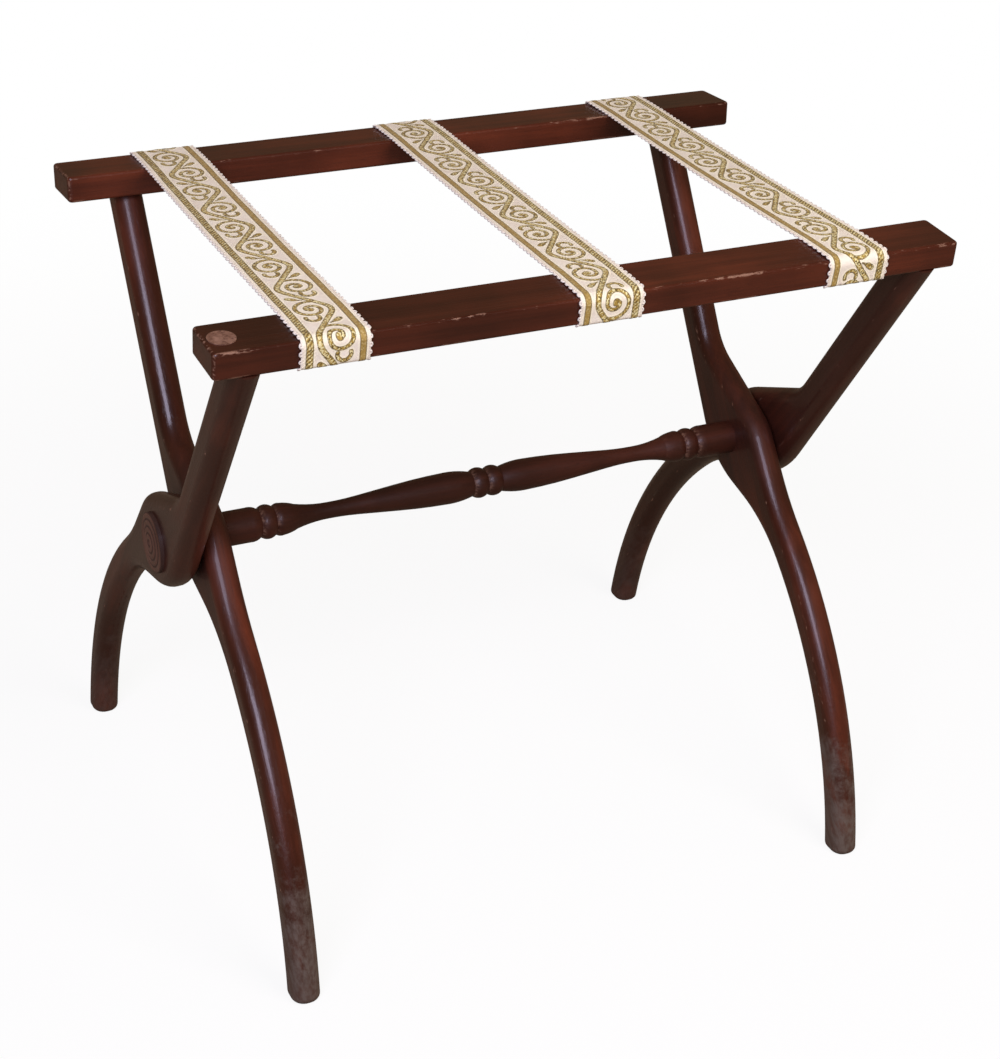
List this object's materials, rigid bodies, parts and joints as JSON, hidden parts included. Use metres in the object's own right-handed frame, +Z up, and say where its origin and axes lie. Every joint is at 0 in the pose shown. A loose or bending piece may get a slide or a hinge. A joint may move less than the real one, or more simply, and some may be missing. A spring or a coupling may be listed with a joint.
{
  "type": "folding luggage bench",
  "caption": "Folding X-frame wooden luggage bench with curved legs, a turned stretcher and woven straps that carry a suitcase.",
  "frame": {"origin": "on the floor under the middle of the open bench", "axes": "+X along the rails, +Y from the front rail to the rear rail, +Z up"},
  "size_m": [0.5614, 0.4428, 0.511],
  "materials": {
    "rail_wood": "mahogany stain under satin lacquer",
    "leg_wood": "mahogany stain under satin lacquer, worn at the feet",
    "turned_wood": "turned, mahogany stain under satin lacquer",
    "steel": "zinc-plated",
    "brass": "turned",
    "woven_strap": "jacquard-woven ribbon, cream with gold scrolls",
    "label": "uncoated, aged"
  },
  "bodies": {
    "outer_frame": {"front_rail": "rail_wood", "outer_leg_left": "leg_wood", "outer_leg_right": "leg_wood", "pivot_cap_left": "turned_wood", "pivot_cap_right": "turned_wood", "front_strap_tacks": "steel", "round_label": "label", "strap_left": "woven_strap", "strap_middle": "woven_strap", "strap_right": "woven_strap"},
    "inner_frame": {"rear_rail": "rail_wood", "inner_leg_left": "leg_wood", "inner_leg_right": "leg_wood", "stretcher": "turned_wood", "pivot_bolt_left": "steel", "pivot_bolt_right": "steel", "threaded_insert_left": "brass", "threaded_insert_right": "brass", "leg_washer_left": "brass", "leg_washer_right": "brass", "head_washer_left": "steel", "head_washer_right": "steel", "rear_strap_tacks": "steel"}
  },
  "joints": [
    {"name": "fold", "type": "hinge", "parent": "outer_frame", "child": "inner_frame", "pos_m": [0, 0, 0.2757], "axis": [1, 0, 0], "range_deg": [0, 60], "deforming": ["strap_left", "strap_middle", "strap_right"]}
  ]
}
